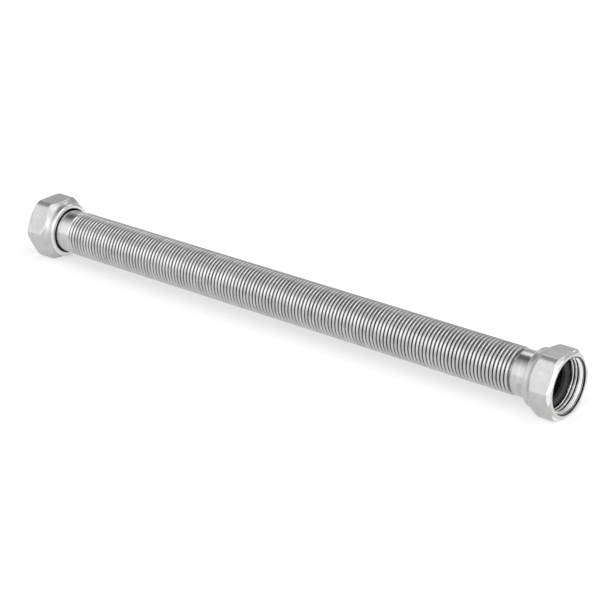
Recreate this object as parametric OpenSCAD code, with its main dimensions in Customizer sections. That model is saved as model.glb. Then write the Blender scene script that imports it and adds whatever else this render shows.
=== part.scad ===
// Extendable stainless connector hose with a union nut on each end.
// Axis along X, nut flats level, origin on the axis at mid length.

/* [Hose] */
// Length of the tube from collar face to collar face
tube_len = 300; // [120:1:600]
// Outer diameter over the corrugation crests
crest_d = 22.4; // [21:0.1:22.6]
// Clear diameter of the passage between the valleys
bore_d = 17.6; // [14:0.1:18.4]
// Sheet thickness of the tube wall
wall = 0.3; // [0.2:0.05:0.4]
// Wanted spacing of the corrugations
ring_pitch = 2; // [1.9:0.05:3]
// Open width between two neighbouring crests
valley_gap = 0.5; // [0.4:0.05:0.7]

/* [Hose ends] */
// Outer diameter of the plain cuff that carries the nut
cuff_d = 21.7; // [20:0.1:22]
// Length of the plain end, from the last valley to the collar face
end_len = 16; // [14:0.5:30]
// Bend radius at the middle of the sheet where the tube turns into its cuff
cuff_bend = 1.5; // [0.5:0.1:2]
// Bend radius at the middle of the sheet where the cuff turns out into its collar
collar_bend = 0.4; // [0.3:0.05:0.6]
// Height of the collar above the outside of the cuff
collar_rise = 1.15; // [0.9:0.05:1.2]

/* [Gasket] */
// Thickness of the flat gasket
gasket_t = 2; // [1:0.1:3]
// Inset of the gasket's rim from the rim of the collar
gasket_inset = 0.1; // [0:0.05:0.4]
// Inner diameter of the gasket
gasket_bore_d = 17; // [14:0.1:18]

/* [Union nut] */
// Width across the flats
across_flats = 30; // [29.2:0.1:32]
// Height turned off the hexagon's sharp corners
corner_cut = 0.7; // [0.3:0.05:1]
// Length from the open face to the rear end
nut_len = 16.4; // [15.8:0.1:25]
// Diameter of the flat ring at the open face
face_d = 30; // [28:0.1:31]
// Length of the turned chamfer that ends at the open face
chamfer_len = 1.6; // [0.8:0.1:3]
// Depth of the flat bevels around the open face, across the flats
bevel_depth = 0.7; // [0.4:0.1:1.4]
// Length of the flat bevels along the nut
bevel_len = 1.4; // [0.6:0.1:2.5]
// Length of the hexagon along its corners, from the open face
hex_len = 10.2; // [9:0.1:11]
// Length of the round neck, from the end of the shoulder to the rear end
neck_len = 3.4; // [2.6:0.1:5]
// Thickness of the neck's wall
neck_wall = 2.45; // [1.9:0.05:2.9]
// Rounding of the neck's rear edge
neck_round = 1.5; // [0.5:0.1:1.7]
// Fillet between the shoulder and the neck
neck_fillet = 1; // [0.4:0.1:1.5]

/* [Nut bore] */
// Bore of the internal thread at its crests
thread_minor_d = 24.12; // [24.1:0.01:24.6]
// Diameter of the plain recess at the open face
mouth_d = 26.9; // [26.5:0.1:27.2]
// Depth of the plain recess, to the countersink that leads into the thread
mouth_len = 1; // [0.4:0.1:2]
// Depth of the threaded stretch, from the open face
thread_depth = 7; // [5:0.1:9]
// Clearance around the collar in the relief behind the thread
relief_clear = 1.3; // [1.22:0.01:1.5]
// Play of the nut along the hose, between its seat and the collar
seat_play = 0.3; // [0.1:0.1:1]
// Play between the thread and the gasket's face
gasket_setback = 0.2; // [0.1:0.1:1]
// Clearance around the cuff in the neck
neck_clear = 0.5; // [0.3:0.05:0.8]
// Edge break at both ends of the neck bore
edge_break = 0.4; // [0.2:0.1:0.6]

/* [Hidden] */
$fn = 96;

steel = "#c9cacb";
nickel = "#d6d5d2";
rubber = "#2b2b2c";

// Corrugation, measured at the middle of the sheet
corr_len = tube_len - 2 * end_len;
ring_count = floor(corr_len / ring_pitch);
pitch = corr_len / ring_count;
valley_bend = (valley_gap + wall) / 2;
crest_bend = pitch / 2 - valley_bend;
crest_r = (crest_d - wall) / 2 - crest_bend;
valley_r = (bore_d + wall) / 2 + valley_bend;
cuff_r = (cuff_d - wall) / 2;
collar_r = cuff_d / 2 + collar_rise;
collar_z = tube_len / 2 - wall / 2;

// Rise from the last valley to the cuff: straight out where there is room for both bends
cuff_rise = cuff_r - (bore_d + wall) / 2;
end_bends = valley_bend + cuff_bend;
cuff_turn = cuff_rise < end_bends ? acos(1 - cuff_rise / end_bends) : 90;
cuff_start = corr_len / 2 + end_bends * sin(cuff_turn);

// Straight steps that stand for each round of the corrugated section
crest_steps = 4;
valley_steps = 3;
bend_steps = 5;

// Places along the axis, from mid length outwards
collar_face = tube_len / 2;
gasket_face = collar_face + gasket_t;
nut_face = gasket_face + gasket_setback + thread_depth;

// Nut, measured along its axis from the open face inwards
seat_depth = nut_face - collar_face + wall + seat_play;
relief_r = collar_r + relief_clear;
neck_bore_r = cuff_d / 2 + neck_clear;
neck_r = neck_bore_r + neck_wall;
corner_r = across_flats / 2 / cos(30) - corner_cut;
shoulder_end = nut_len - neck_len;
shoulder_angle = atan((corner_r - neck_r) / (shoulder_end - hex_len));
fillet_reach = neck_fillet * tan(shoulder_angle / 2);
thread_start = mouth_len + (mouth_d - thread_minor_d) / 2;

// Points along an arc about [r, z]
function arc(r, z, radius, from, to, steps) = [
    for (k = [0 : steps])
        let (a = from + (to - from) * k / steps)
        [r + radius * cos(a), z + radius * sin(a)]
];

function reversed(points) = [for (i = [len(points) - 1 : -1 : 0]) points[i]];

// Corrugated stretch on one side of the sheet: side is half the wall, minus for the inside
function corrugations(side) = [
    for (i = [0 : ring_count])
        let (z = i * pitch - corr_len / 2)
        each concat(
            arc(valley_r, z, valley_bend - side, i == 0 ? 180 + cuff_turn : 270,
                i == ring_count ? 180 - cuff_turn : 90, valley_steps),
            i == ring_count ? []
                : arc(crest_r, z + pitch / 2, crest_bend + side, -90, 90, crest_steps)
        )
];

// Plain end on one side of the sheet: bend, cuff, bend and collar
function tube_end(side) = concat(
    arc(cuff_r - cuff_bend, cuff_start, cuff_bend + side, -cuff_turn, 0, bend_steps),
    arc(cuff_r + collar_bend, collar_z - collar_bend, collar_bend - side, 180, 90, bend_steps),
    [[collar_r, collar_z - side]]
);

// One side of the sheet from the left collar to the right one
function tube_side(side) = concat(
    [for (p = reversed(tube_end(side))) [p[0], -p[1]]],
    corrugations(side),
    tube_end(side)
);

module corrugated_tube() {
    color(steel) rotate([0, 90, 0]) rotate_extrude()
        polygon(concat(tube_side(wall / 2), reversed(tube_side(-wall / 2))));
}

module gasket() {
    color(rubber) translate([collar_face, 0, 0]) rotate([0, 90, 0])
        rotate_extrude() translate([gasket_bore_d / 2, 0])
            square([collar_r - gasket_inset - gasket_bore_d / 2, gasket_t]);
}

// Turned outline of the nut: radius against depth from the open face
module nut_outline() {
    difference() {
        union() {
            polygon([
                [0, 0], [face_d / 2, 0], [corner_r, chamfer_len], [corner_r, hex_len],
                [neck_r, shoulder_end], [neck_r, nut_len - neck_round],
                [neck_r - neck_round, nut_len - neck_round],
                [neck_r - neck_round, nut_len], [0, nut_len]
            ]);
            translate([neck_r - neck_round, nut_len - neck_round]) circle(r = neck_round);
            // Web that the fillet is cut from
            polygon([
                [neck_r, shoulder_end - fillet_reach],
                [neck_r + fillet_reach * sin(shoulder_angle),
                 shoulder_end - fillet_reach * cos(shoulder_angle)],
                [neck_r, shoulder_end + fillet_reach]
            ]);
        }
        translate([neck_r + neck_fillet, shoulder_end + fillet_reach])
            circle(r = neck_fillet);
    }
}

// Turned outline of the passage through the nut
module nut_bore() {
    polygon([
        [0, -1], [mouth_d / 2, -1], [mouth_d / 2, mouth_len], [thread_minor_d / 2, thread_start],
        [thread_minor_d / 2, thread_depth], [relief_r, thread_depth],
        [relief_r, seat_depth], [neck_bore_r + edge_break, seat_depth],
        [neck_bore_r, seat_depth + edge_break], [neck_bore_r, nut_len - edge_break],
        [neck_bore_r + edge_break, nut_len], [neck_bore_r + edge_break, nut_len + 1],
        [0, nut_len + 1]
    ]);
}

// Wedge that cuts the bevel along the front edge of one flat
module bevel_cut() {
    rotate([90, 0, 0]) linear_extrude(height = across_flats, center = true) polygon([
        [across_flats / 2 - 2 * bevel_depth, -bevel_len],
        [across_flats / 2 + bevel_depth, 2 * bevel_len],
        [across_flats / 2 + bevel_depth, -bevel_len]
    ]);
}

module union_nut() {
    color(nickel) translate([nut_face, 0, 0]) rotate([0, -90, 0]) difference() {
        intersection() {
            rotate_extrude() nut_outline();
            // Hexagonal bar with a flat on top
            rotate([0, 0, 30]) cylinder(d = across_flats / cos(30), h = nut_len, $fn = 6);
        }
        for (side = [0 : 5]) rotate([0, 0, 60 * side]) bevel_cut();
        rotate_extrude() nut_bore();
    }
}

module gasket_right() { gasket(); }
module gasket_left() { mirror([1, 0, 0]) gasket(); }
module union_nut_right() { union_nut(); }
module union_nut_left() { mirror([1, 0, 0]) union_nut(); }

corrugated_tube();
gasket_left();
gasket_right();
union_nut_left();
union_nut_right();
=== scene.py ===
import math

import bpy
import numpy as np
from mathutils import Matrix, Vector


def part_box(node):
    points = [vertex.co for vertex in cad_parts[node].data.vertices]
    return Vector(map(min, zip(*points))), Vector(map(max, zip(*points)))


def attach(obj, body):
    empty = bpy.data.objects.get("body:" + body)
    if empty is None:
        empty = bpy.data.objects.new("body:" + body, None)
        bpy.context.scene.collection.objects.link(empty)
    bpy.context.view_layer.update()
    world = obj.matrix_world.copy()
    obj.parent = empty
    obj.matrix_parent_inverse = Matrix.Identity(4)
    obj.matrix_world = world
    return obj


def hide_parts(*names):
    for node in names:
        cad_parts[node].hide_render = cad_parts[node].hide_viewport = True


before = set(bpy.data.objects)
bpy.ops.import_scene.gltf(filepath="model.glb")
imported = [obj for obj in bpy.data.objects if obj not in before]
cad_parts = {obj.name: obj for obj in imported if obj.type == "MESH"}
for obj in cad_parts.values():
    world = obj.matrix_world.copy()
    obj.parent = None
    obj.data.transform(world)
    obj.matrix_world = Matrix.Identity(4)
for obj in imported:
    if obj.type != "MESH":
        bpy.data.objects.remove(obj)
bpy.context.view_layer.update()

MM = 0.001

# View, as in the photograph, whose image is 616 pixels square. Angles are in degrees.
IMAGE_PX = 616
VIEW_AZIMUTH = 38.68
VIEW_ELEVATION = 23.13
FOCAL_PX = 2162
ORIGIN_DEPTH = 1032 * MM
ORIGIN_PX = (285.9, 297.6)
SENSOR_MM = 36


def span(node, axis):
    """Lowest and highest place of a CAD node along an axis, in millimetres."""
    low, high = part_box(node)
    return low[axis] / MM, high[axis] / MM


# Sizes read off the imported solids
NUT_REAR, NUT_FACE = span("union_nut_right", 0)
NUT_LEN = NUT_FACE - NUT_REAR
FLAT_R = span("union_nut_right", 2)[1]
LAND_R = span("union_nut_right", 1)[1]
GASKET_BACK, GASKET_FRONT = span("gasket_right", 0)
GASKET_R = span("gasket_right", 2)[1]
TUBE_END = span("corrugated_tube", 0)[1]
COLLAR_R = span("corrugated_tube", 2)[1]

# Tube, in millimetres
CREST_R = 11.2
BORE_R = 8.8
CUFF_R = 10.85
WALL = 0.3
END_LEN = 16
RINGS = 134
VALLEY_GAP = 0.5
CUFF_BEND = 1.5
COLLAR_BEND = 0.4

# Points around the tube's outside, and the steps in each valley, crest and end bend
OUTER_SEGMENTS = 56
OUTER_STEPS = (3, 5, 4)
INNER_STEPS = (2, 2, 2)

# Nut, in millimetres. Lengths and depths run from the open face.
FACE_R = 15
CHAMFER_LEN = 1.6
BEVEL_DEPTH = 0.7
BEVEL_LEN = 1.4
HEX_LEN = 10.2
NECK_R = 13.8
NECK_LEN = 3.4
NECK_ROUND = 1.5
NECK_BORE_R = 11.35
MOUTH_R = 13.45
MOUTH_LEN = 1.0
RELIEF_R = 13.3
SEAT_DEPTH = 9.8
EDGE_BREAK = 0.4

# G 3/4 internal thread, in millimetres
THREAD_PITCH = 1.814
THREAD_MINOR_R = 12.06
THREAD_HEIGHT = 1.162
THREAD_END = 7.0

# Softened edges of the nut, in millimetres
FACE_EDGE = 0.3
EDGE_BLEND = 0.35
BEVEL_BLEND = 0.15
FILLET_BLEND = 1.2
MOUTH_BLEND = 0.12
BORE_EDGE = 0.1

# Spacing of the nut's rings, in millimetres, and the steps in its rounded edges
STATION = 0.2
THREAD_STATION = 0.1
FACE_EDGE_STEPS = 3
NECK_ROUND_STEPS = 9

# Points around the nut, in degrees from the middle of a flat and from the edge of that flat
FLAT_ANGLES = (0, 3.7, 7.4, 11, 14.4, 17.6, 20.2)
EDGE_ANGLES = (-3.4, -2.4, -1.6, -0.8, 0, 0.8, 1.6, 2.6, 3.6)

# Gasket, in millimetres
GASKET_BORE_R = 8.5
GASKET_EDGE = 0.2
GASKET_EDGE_STEPS = 3
GASKET_SEGMENTS = 96

# Turns a piece of the right end round for the left end
HALF_TURN = (-1, -1, 1)

# Colours, from the darkest to the lightest tone where there are two
STEEL = ((0.42, 0.42, 0.42), (0.58, 0.58, 0.58))
# Near-black steel on the tube's inside: painted shade in the bore
STEEL_INSIDE_SHADE = ((0.05, 0.05, 0.05), (0.08, 0.08, 0.08))
PLATE = ((0.435, 0.434, 0.432), (0.565, 0.564, 0.561))
# Lighter plating on the turned front face: painted highlight
FACE_HIGHLIGHT = ((0.6, 0.598, 0.593), (0.7, 0.698, 0.692))
# Lighter plating on the thread and on the chamfer's turned corners: painted highlight
THREAD_HIGHLIGHT = ((0.78, 0.777, 0.77), (0.86, 0.857, 0.85))
# Lighter plating on the rear bead: painted highlight
BEAD_HIGHLIGHT = ((0.7, 0.698, 0.693), (0.78, 0.778, 0.772))
# Dark plating in the nut's mouth recess: painted shade
RECESS_SHADE = (0.25, 0.25, 0.25)
# Dark plating in the neck bore: painted shade
NECK_BORE_SHADE = (0.1, 0.1, 0.1)
RUBBER = ((0.035, 0.035, 0.037), (0.085, 0.085, 0.087))

# Roughness, from and to, and how much rougher the satin plate is than the turned one
STEEL_ROUGHNESS = (0.13, 0.23)
STEEL_INSIDE_ROUGHNESS = (0.4, 0.5)
TURNED_ROUGHNESS = (0.09, 0.17)
SATIN_ROUGHENING = 0.21
RUBBER_ROUGHNESS = (0.5, 0.7)

# Where the nut's finish, painted highlight and painted shade change, from and to, in millimetres out
# from the axis
OUTSIDE = (MOUTH_R + 0.05, MOUTH_R + 0.25)
TURNED_CORNER = (FACE_R + 0.1, FACE_R + 0.3)
PAST_NECK_BORE = (NECK_BORE_R + 0.15, NECK_BORE_R + 0.35)

# The same, in millimetres from the open face
PAST_EDGE = (FACE_EDGE - 0.05, FACE_EDGE + 0.1)
PAST_CHAMFER = (CHAMFER_LEN - 0.3, CHAMFER_LEN - 0.1)
PAST_RECESS = (MOUTH_LEN + 0.3, MOUTH_LEN + 0.5)
PAST_THREAD = (THREAD_END, THREAD_END + 0.1)

# Values that a noise mostly keeps to, and a closer pair that gives more contrast
NOISE_RANGE = (0.3, 0.7)
NOISE_CORE = (0.32, 0.68)

# Floor, in metres, and its room below the nuts, in millimetres
FLOOR_SIZE = 6.0
FLOOR_GAP = 0.02
FLOOR_GREY = 0.5
FLOOR_ROUGHNESS = 0.9
FLOOR_GLOW = 0.52

# Light tent: its strength in front and behind, and a darker gap, whose size is in degrees
TENT_FRONT = 1.62
TENT_BACK = 0.52
GAP_DIRECTION = (-0.575, 0.128, 0.808)
GAP_CORE = 4
GAP_EDGE = 42
GAP_LEVEL = 0.15

# Lamps: azimuth and elevation in degrees, width and height in metres, and power in watts
LAMP_DISTANCE = 1.2
LAMPS = {
    "key": (20, 29, 0.9, 0.6, 1.9),
    "rim": (-165, 44, 0.8, 0.3, 0.7),
    "side": (-138, 42, 0.3, 0.36, 0.34),
    "top": (98, 69, 0.6, 0.6, 1.5),
}


def arc(x, r, radius, start, end, steps):
    """Points (x, r) along an arc. Angles are in degrees, from straight out towards +X."""
    turns = np.radians(np.linspace(start, end, steps + 1))
    return [(x + radius * math.sin(t), r + radius * math.cos(t)) for t in turns]


def smooth_min(a, b, blend):
    """The lesser of two heights, rounded over where they are within blend of each other."""
    near = np.clip(blend - np.abs(a - b), 0, None) / blend
    return np.minimum(a, b) - near * near * blend / 4


def smooth_max(a, b, blend):
    """The greater of two heights, rounded in the same way."""
    return -smooth_min(-a, -b, blend)


def full_turn(count):
    """Evenly spaced angles around the axis, in radians."""
    return np.arange(count) * 2 * math.pi / count


def ring_points(x, radii, angles):
    """Points of one ring about the X axis. The radii are one for all angles, or one for each."""
    radii = np.broadcast_to(radii, angles.shape)
    return np.column_stack([np.full(angles.shape, x), radii * np.cos(angles), radii * np.sin(angles)])


def band(a, b, count):
    """Quads between two rings that start at points a and b."""
    return [(a + j, b + j, b + (j + 1) % count, a + (j + 1) % count) for j in range(count)]


def seam(fine, coarse, count):
    """Triangles between a ring that starts at point fine and one with half as many points."""
    faces = []
    for j in range(count):
        k = (j + 1) % count
        first, middle, last = fine + 2 * j, fine + 2 * j + 1, fine + 2 * k
        faces += [(first, coarse + j, middle), (middle, coarse + j, coarse + k),
                  (middle, coarse + k, last)]
    return faces


def loft(rings, angles):
    """Closed skin over a loop of rings (x, radii)."""
    count = len(angles)
    points = np.concatenate([ring_points(x, radii, angles) for x, radii in rings])
    faces = []
    for i in range(len(rings)):
        faces += band(i * count, (i + 1) % len(rings) * count, count)
    return points, faces


def add_piece(name, points, faces, material, body, node):
    """A smooth mesh, given in millimetres, that stands for one CAD node."""
    mesh = bpy.data.meshes.new(name)
    mesh.from_pydata((np.asarray(points) * MM).tolist(), [], faces)
    mesh.shade_smooth()
    mesh.materials.append(material)
    piece = bpy.data.objects.new(name, mesh)
    bpy.context.scene.collection.objects.link(piece)
    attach(piece, body)
    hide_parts(node)
    return piece


def tube_side(side, steps):
    """Outline of one side of the sheet, from the left collar to the right one.
    side is half the wall for the outside, and minus that for the inside."""
    valley_steps, crest_steps, bend_steps = steps
    length = 2 * (TUBE_END - END_LEN)
    pitch = length / RINGS
    valley_bend = (VALLEY_GAP + WALL) / 2
    crest_bend = pitch / 2 - valley_bend
    crest_r = CREST_R - WALL / 2 - crest_bend
    valley_r = BORE_R + WALL / 2 + valley_bend
    bends = valley_bend + CUFF_BEND
    turn = math.degrees(math.acos(1 - (CUFF_R - BORE_R - WALL) / bends))
    cuff_x = length / 2 + bends * math.sin(math.radians(turn))
    rings = []
    for i in range(RINGS + 1):
        x = i * pitch - length / 2
        start = -180 + turn if i == 0 else -90
        stop = -180 - turn if i == RINGS else -270
        rings += arc(x, valley_r, valley_bend - side, start, stop, valley_steps)
        if i < RINGS:
            rings += arc(x + pitch / 2, crest_r, crest_bend + side, -90, 90, crest_steps)
    cuff_r = CUFF_R - WALL / 2
    collar_x = TUBE_END - WALL / 2
    # The last valley already holds the first point of the cuff's bend
    end = arc(cuff_x, cuff_r - CUFF_BEND, CUFF_BEND + side, -turn, 0, bend_steps)[1:]
    end += arc(collar_x - COLLAR_BEND, cuff_r + COLLAR_BEND, COLLAR_BEND - side, 180, 90, bend_steps)
    end.append((collar_x - side, COLLAR_R))
    return [(-x, r) for x, r in reversed(end)] + rings + end


def make_tube(outer, shaded_inner):
    """The corrugated tube: a fine outside and a coarser inside, joined at the collars' rims. The inside
    gets near-black steel as painted shade.
    """
    outside = tube_side(WALL / 2, OUTER_STEPS)
    inside = tube_side(-WALL / 2, INNER_STEPS)
    fine, coarse = OUTER_SEGMENTS, OUTER_SEGMENTS // 2
    points = [ring_points(x, r, full_turn(fine)) for x, r in outside]
    points += [ring_points(x, r, full_turn(coarse)) for x, r in inside]
    start = len(outside) * fine
    faces = []
    for i in range(len(outside) - 1):
        faces += band((i + 1) * fine, i * fine, fine)
    outer_count = len(faces)
    for i in range(len(inside) - 1):
        faces += band(start + i * coarse, start + (i + 1) * coarse, coarse)
    inner_end = len(faces)
    faces += seam(0, start, coarse)
    last = start + (len(inside) - 1) * coarse
    faces += [tuple(reversed(face)) for face in seam(start - fine, last, coarse)]
    piece = add_piece("tube", np.concatenate(points), faces,
                      outer, "hose", "corrugated_tube")
    piece.data.materials.append(shaded_inner)
    for polygon in piece.data.polygons[outer_count:inner_end]:
        polygon.material_index = 1


def nut_angles():
    """Angles around the nut, closer together where a flat meets the turned land."""
    edge = math.degrees(math.acos(FLAT_R / LAND_R))
    half = [*FLAT_ANGLES, *(edge + step for step in EDGE_ANGLES)]
    sector = [-a for a in reversed(half[1:])] + half
    turns = [90 + 60 * side + a for side in range(6) for a in sector]
    return np.radians(turns)


def outer_radius(u, angles):
    """Radius of the nut's outside at depth u from the open face."""
    flat = smooth_min(FLAT_R, FLAT_R - BEVEL_DEPTH * (1 - u / BEVEL_LEN), BEVEL_BLEND)
    off_flat = angles % (math.pi / 3) - math.pi / 6
    chamfer = FACE_R + (LAND_R - FACE_R) * u / CHAMFER_LEN
    neck_start = NUT_LEN - NECK_LEN
    shoulder = LAND_R - (LAND_R - NECK_R) * (u - HEX_LEN) / (neck_start - HEX_LEN)
    turned = smooth_min(smooth_min(chamfer, LAND_R, EDGE_BLEND), shoulder, EDGE_BLEND)
    turned = smooth_max(turned, NECK_R, FILLET_BLEND)
    return smooth_min(flat / np.cos(off_flat), turned, EDGE_BLEND)


def thread_radius(x, angles):
    """Radius of a right-hand internal thread with rounded crests and roots."""
    phase = (x / THREAD_PITCH - angles / (2 * math.pi)) % 1
    across = np.abs(2 * phase - 1)
    return THREAD_MINOR_R + THREAD_HEIGHT * across * across * (3 - 2 * across)


def inner_radius(u, angles):
    """Radius of the plain recess, its countersink and the thread at depth u from the open face."""
    mouth = MOUTH_R - max(u - MOUTH_LEN, 0)
    return smooth_max(thread_radius(NUT_FACE - u, angles), mouth, MOUTH_BLEND)


def nut_rings(angles):
    """Rings (x, radii) over the outside from the open face to the rear, and back through the bore."""
    edge = outer_radius(FACE_EDGE, angles)
    turns = np.linspace(0, math.pi / 2, FACE_EDGE_STEPS, endpoint=False)
    rings = [(FACE_EDGE * (1 - math.cos(t)), edge - FACE_EDGE * (1 - math.sin(t))) for t in turns]
    straight = NUT_LEN - NECK_ROUND
    stations = np.linspace(FACE_EDGE, straight, round(straight / STATION))
    rings += [(u, outer_radius(u, angles)) for u in stations]
    rings += arc(straight, NECK_R - NECK_ROUND, NECK_ROUND, 0, 90, NECK_ROUND_STEPS)[1:]
    rings += [
        (NUT_LEN, NECK_BORE_R + EDGE_BREAK + BORE_EDGE),
        (NUT_LEN - BORE_EDGE / 2, NECK_BORE_R + EDGE_BREAK),
        (NUT_LEN - EDGE_BREAK, NECK_BORE_R + BORE_EDGE / 2),
        (NUT_LEN - EDGE_BREAK - BORE_EDGE, NECK_BORE_R),
        (SEAT_DEPTH + EDGE_BREAK, NECK_BORE_R),
        (SEAT_DEPTH, NECK_BORE_R + EDGE_BREAK),
        (SEAT_DEPTH, RELIEF_R - BORE_EDGE),
        (SEAT_DEPTH - BORE_EDGE, RELIEF_R),
        (THREAD_END + BORE_EDGE, RELIEF_R),
        (THREAD_END, RELIEF_R - BORE_EDGE),
    ]
    stations = np.linspace(THREAD_END, BORE_EDGE, round(THREAD_END / THREAD_STATION))
    rings += [(u, inner_radius(u, angles)) for u in stations]
    rings.append((0, MOUTH_R + BORE_EDGE))
    return [(NUT_FACE - u, radii) for u, radii in rings]


def make_nuts(material):
    """The same nut at each end, turned half round, so that both threads are right-handed."""
    angles = nut_angles()
    points, faces = loft(nut_rings(angles), angles)
    add_piece("nut_right", points, faces, material, "nut_right", "union_nut_right")
    add_piece("nut_left", points * HALF_TURN, faces,
              material, "nut_left", "union_nut_left")


def make_gaskets(material):
    """A flat ring with softened edges behind each thread."""
    front, back = GASKET_FRONT - GASKET_EDGE, GASKET_BACK + GASKET_EDGE
    rim, bore = GASKET_R - GASKET_EDGE, GASKET_BORE_R + GASKET_EDGE
    rings = []
    for x, r, start in ((front, rim, 90), (back, rim, 0), (back, bore, -90), (front, bore, -180)):
        rings += arc(x, r, GASKET_EDGE, start, start - 90, GASKET_EDGE_STEPS)
    points, faces = loft(rings, full_turn(GASKET_SEGMENTS))
    add_piece("seal_right", points, faces, material, "hose", "gasket_right")
    add_piece("seal_left", points * HALF_TURN, faces,
              material, "hose", "gasket_left")


class Tree:
    """Short calls to build the nodes of a material or a world."""

    def __init__(self, owner):
        owner.use_nodes = True
        self.nodes = owner.node_tree.nodes
        self.links = owner.node_tree.links

    def feed(self, socket, value):
        """Links another node's output to a socket, or sets the socket to a plain value."""
        if isinstance(value, bpy.types.NodeSocket):
            self.links.new(value, socket)
        else:
            socket.default_value = value

    def add(self, kind, inputs=None, **settings):
        """Adds a node and returns its outputs."""
        node = self.nodes.new(kind)
        for key, value in settings.items():
            setattr(node, key, value)
        for key, value in (inputs or {}).items():
            self.feed(node.inputs[key], value)
        return node.outputs

    def calc(self, operation, a, b=0.0):
        """One sum, product or other operation of the Math node."""
        return self.add("ShaderNodeMath", {0: a, 1: b}, operation=operation)[0]

    def remap(self, value, low, high, to_low=0.0, to_high=1.0):
        """A value that goes from to_low to to_high as the given one goes from low to high."""
        return self.add("ShaderNodeMapRange", {"Value": value, "From Min": low, "From Max": high,
                                               "To Min": to_low, "To Max": to_high})[0]

    def blend(self, a, b, share):
        """Two values added up, with b's share of the whole."""
        return self.calc("ADD", self.calc("MULTIPLY", a, 1 - share), self.calc("MULTIPLY", b, share))

    def without(self, mask, cut):
        """A mask, less where another one is."""
        return self.calc("MULTIPLY", mask, self.calc("SUBTRACT", 1.0, cut))

    def mix(self, factor, a, b):
        """Colour a where the factor is 0, and colour b where it is 1."""
        a, b = (c if isinstance(c, bpy.types.NodeSocket) else (*c, 1) for c in (a, b))
        return self.add("ShaderNodeMix", {0: factor, 6: a, 7: b}, data_type="RGBA")[2]

    def seen_directly(self):
        """1 for rays from the camera, mirrors and glass, and 0 for the rays that light things."""
        path = self.add("ShaderNodeLightPath")
        seen = path["Is Camera Ray"]
        for name in ("Is Glossy Ray", "Is Transmission Ray"):
            seen = self.calc("MAXIMUM", seen, path[name])
        return seen


class Material(Tree):
    """A new material and its shader."""

    def __init__(self, name):
        self.material = bpy.data.materials.new(name)
        super().__init__(self.material)
        self.shader = self.nodes["Principled BSDF"]

    def set(self, **inputs):
        """Feeds the shader's sockets, whose names have _ for a space here."""
        for name, value in inputs.items():
            self.feed(self.shader.inputs[name.replace("_", " ")], value)

    def bump(self, height, distance, strength, under=None):
        """Surface direction with the bumps of a height, on top of those in under, if given."""
        inputs = {"Height": height, "Distance": distance, "Strength": strength}
        if under is not None:
            inputs["Normal"] = under
        return self.add("ShaderNodeBump", inputs)["Normal"]


class TurnedMaterial(Material):
    """A material that knows the place along the hose's axis, around it and out from it."""

    def __init__(self, name):
        super().__init__(name)
        self.place = self.add("ShaderNodeTexCoord")["Object"]
        parts = self.add("ShaderNodeSeparateXYZ", {0: self.place})
        self.along, y, z = parts[0], parts[1], parts[2]
        self.around = self.calc("ARCTAN2", z, y)
        squares = self.calc("ADD", self.calc("MULTIPLY", y, y), self.calc("MULTIPLY", z, z))
        self.out = self.calc("SQRT", squares)

    def noise(self, scale, detail, roughness=0.5, vector=None):
        """A cloudy noise, with scale cells in a metre, or in each unit of the vector if given."""
        vector = self.place if vector is None else vector
        return self.add("ShaderNodeTexNoise", {"Vector": vector, "Scale": scale, "Detail": detail,
                                               "Roughness": roughness})["Fac"]

    def lines(self, across, around, detail):
        """Noise drawn out around the axis: cells in a metre across the lines, and in a radian."""
        vector = self.add("ShaderNodeCombineXYZ", {"X": self.calc("MULTIPLY", self.along, across),
                                                   "Y": self.calc("MULTIPLY", self.around, around),
                                                   "Z": self.calc("MULTIPLY", self.out, across)})[0]
        return self.noise(1.0, detail, vector=vector)

    def past(self, value, limits):
        """0 up to the first limit and 1 from the second, which are in millimetres."""
        return self.remap(value, limits[0] * MM, limits[1] * MM)


def steel_material(name, tones, roughness):
    """Formed stainless sheet with faint drawing lines around the tube."""
    m = TurnedMaterial(name)
    fine = m.lines(across=9000, around=3, detail=2)
    bands = m.lines(across=420, around=0.8, detail=2)
    cloud = m.noise(scale=140, detail=4)
    tone = m.remap(m.blend(cloud, bands, share=0.75), *NOISE_RANGE)
    texture = m.blend(cloud, fine, share=0.65)
    m.set(Base_Color=m.mix(tone, *tones), Metallic=1.0,
          Roughness=m.remap(texture, *NOISE_RANGE, *roughness),
          Normal=m.bump(fine, 0.01 * MM, strength=0.25))
    return m.material


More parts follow.
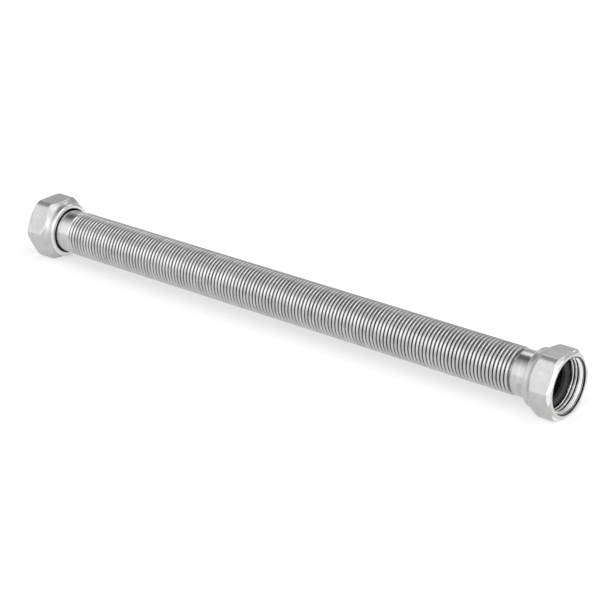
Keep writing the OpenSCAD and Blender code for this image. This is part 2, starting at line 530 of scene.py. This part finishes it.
def nickel_material():
    """Nickel plate: satin flats with cutting marks, painted highlight on the face, thread and bead, and
    painted shade in the recess and neck bore.
    """
    m = TurnedMaterial("plated_brass")
    fine = m.lines(across=7000, around=2, detail=2)
    marks = m.lines(across=1300, around=6, detail=3)
    grain = m.noise(scale=2600, detail=3, roughness=0.6)
    cloud = m.noise(scale=170, detail=4)
    tone = m.remap(m.blend(cloud, marks, share=0.55), *NOISE_CORE)
    # Face, thread and bead are lighter copies of the plate, as painted highlight
    plate, face, thread, bead_highlight = (m.mix(tone, *tones) for tones in (PLATE, FACE_HIGHLIGHT, THREAD_HIGHLIGHT, BEAD_HIGHLIGHT))

    depth = m.calc("SUBTRACT", NUT_FACE * MM, m.calc("ABSOLUTE", m.along))
    outside = m.past(m.out, OUTSIDE)
    # The chamfer's turned corners, which take the thread's lighter tone as a painted highlight
    corner = m.without(m.past(m.out, TURNED_CORNER), m.past(depth, PAST_CHAMFER))
    satin = m.without(m.calc("MULTIPLY", outside, m.past(depth, PAST_EDGE)), corner)
    behind = m.past(depth, PAST_THREAD)
    # The neck bore behind the thread, which takes a painted shade
    neck = m.without(behind, m.past(m.out, PAST_NECK_BORE))

    # Painted shade in the recess and the start of the countersink, painted highlight on the thread
    # beyond
    ahead = m.mix(m.past(depth, PAST_RECESS), RECESS_SHADE, thread)
    # Behind the thread: painted shade in the neck bore, painted highlight on the rear bead
    inside = m.mix(behind, ahead, m.mix(neck, bead_highlight, NECK_BORE_SHADE))
    # Outside: painted highlight on the face and on the chamfer's corners
    turned = m.mix(outside, inside, m.mix(corner, face, thread))
    rough = m.remap(m.blend(grain, marks, share=0.5), *NOISE_RANGE, *TURNED_ROUGHNESS)
    normal = m.bump(grain, 0.02 * MM, strength=0.3)
    normal = m.bump(marks, 0.03 * MM, strength=0.15, under=normal)
    normal = m.bump(fine, 0.01 * MM, strength=0.25, under=normal)
    m.set(Base_Color=m.mix(satin, turned, plate), Metallic=1.0,
          Roughness=m.calc("ADD", rough, m.calc("MULTIPLY", satin, SATIN_ROUGHENING)), Normal=normal)
    return m.material


def rubber_material():
    """Matt black rubber."""
    m = TurnedMaterial("gasket_rubber")
    grain = m.noise(scale=1800, detail=4, roughness=0.6)
    streaks = m.lines(across=150, around=14, detail=3)
    tone = m.remap(m.blend(grain, streaks, share=0.6), *NOISE_CORE)
    m.set(Base_Color=m.mix(tone, *RUBBER), Roughness=m.remap(grain, *NOISE_RANGE, *RUBBER_ROUGHNESS),
          Normal=m.bump(grain, 0.04 * MM, strength=0.4))
    return m.material


def make_floor():
    """Pale floor just under the nuts' lower flats."""
    mesh = bpy.data.meshes.new("floor")
    half = FLOOR_SIZE / 2
    z = -(FLAT_R + FLOOR_GAP) * MM
    corners = [(x * half, y * half, z) for x, y in ((-1, -1), (1, -1), (1, 1), (-1, 1))]
    mesh.from_pydata(corners, [], [(0, 1, 2, 3)])
    floor = bpy.data.objects.new("floor", mesh)
    bpy.context.scene.collection.objects.link(floor)
    m = Material("floor")
    m.set(Base_Color=(FLOOR_GREY, FLOOR_GREY, FLOOR_GREY, 1), Roughness=FLOOR_ROUGHNESS,
          Specular_IOR_Level=0.0, Emission_Color=(1, 1, 1, 1),
          Emission_Strength=m.calc("MULTIPLY", m.seen_directly(), FLOOR_GLOW))
    mesh.materials.append(m.material)


def make_world():
    """A pale light tent all round, brighter in front, with a darker gap at the upper left."""
    world = bpy.data.worlds.new("studio")
    bpy.context.scene.world = world
    tree = Tree(world)
    direction = tree.add("ShaderNodeTexCoord")["Generated"]
    rearward = tree.add("ShaderNodeSeparateXYZ", {0: direction})["Y"]
    tent = tree.remap(rearward, -1, 1, TENT_FRONT, TENT_BACK)
    toward_gap = tree.add("ShaderNodeVectorMath", {0: direction, 1: GAP_DIRECTION},
                          operation="DOT_PRODUCT")["Value"]
    angle = tree.calc("ARCCOSINE", toward_gap)
    gap = tree.remap(angle, math.radians(GAP_CORE), math.radians(GAP_EDGE), GAP_LEVEL, 1)
    background = tree.nodes["Background"].inputs
    tree.feed(background["Color"], (1, 1, 1, 1))
    tree.feed(background["Strength"], tree.calc("MULTIPLY", tent, gap))


def toward(azimuth, elevation):
    """Unit vector out from the origin. Angles are in degrees, and azimuth 0 is the front."""
    a, e = math.radians(azimuth), math.radians(elevation)
    return Vector((math.sin(a) * math.cos(e), -math.cos(a) * math.cos(e), math.sin(e)))


def add_lamp(name, azimuth, elevation, width, height, power):
    """A soft panel that faces the hose and that the camera doesn't see."""
    lamp = bpy.data.lights.new(name, "AREA")
    lamp.shape = "RECTANGLE"
    lamp.size, lamp.size_y = width, height
    lamp.energy = power
    holder = bpy.data.objects.new(name, lamp)
    out = toward(azimuth, elevation)
    holder.location = out * LAMP_DISTANCE
    holder.rotation_euler = out.to_track_quat("Z", "Y").to_euler()
    holder.visible_camera = False
    bpy.context.scene.collection.objects.link(holder)


def make_camera():
    """Camera at the photograph's viewing angle, with the hose where the photograph has it."""
    back = toward(VIEW_AZIMUTH, VIEW_ELEVATION)
    right = Vector((0, 0, 1)).cross(back).normalized()
    up = back.cross(right)
    off = [(place - IMAGE_PX / 2) / FOCAL_PX * ORIGIN_DEPTH for place in ORIGIN_PX]
    data = bpy.data.cameras.new("camera")
    data.sensor_width = SENSOR_MM
    data.lens = FOCAL_PX / IMAGE_PX * SENSOR_MM
    camera = bpy.data.objects.new("camera", data)
    axes = Matrix((right, up, back)).transposed().to_4x4()
    place = back * ORIGIN_DEPTH - right * off[0] + up * off[1]
    camera.matrix_world = Matrix.Translation(place) @ axes
    bpy.context.scene.collection.objects.link(camera)
    bpy.context.scene.camera = camera


make_camera()
# The tube's inside gets the near-black steel: painted shade
make_tube(steel_material("stainless_steel", STEEL, STEEL_ROUGHNESS),
          steel_material("stainless_steel_inside_shade", STEEL_INSIDE_SHADE, STEEL_INSIDE_ROUGHNESS))
make_nuts(nickel_material())
make_gaskets(rubber_material())
make_floor()
make_world()
for name, values in LAMPS.items():
    add_lamp(name, *values)
bpy.context.scene.view_settings.view_transform = "Standard"
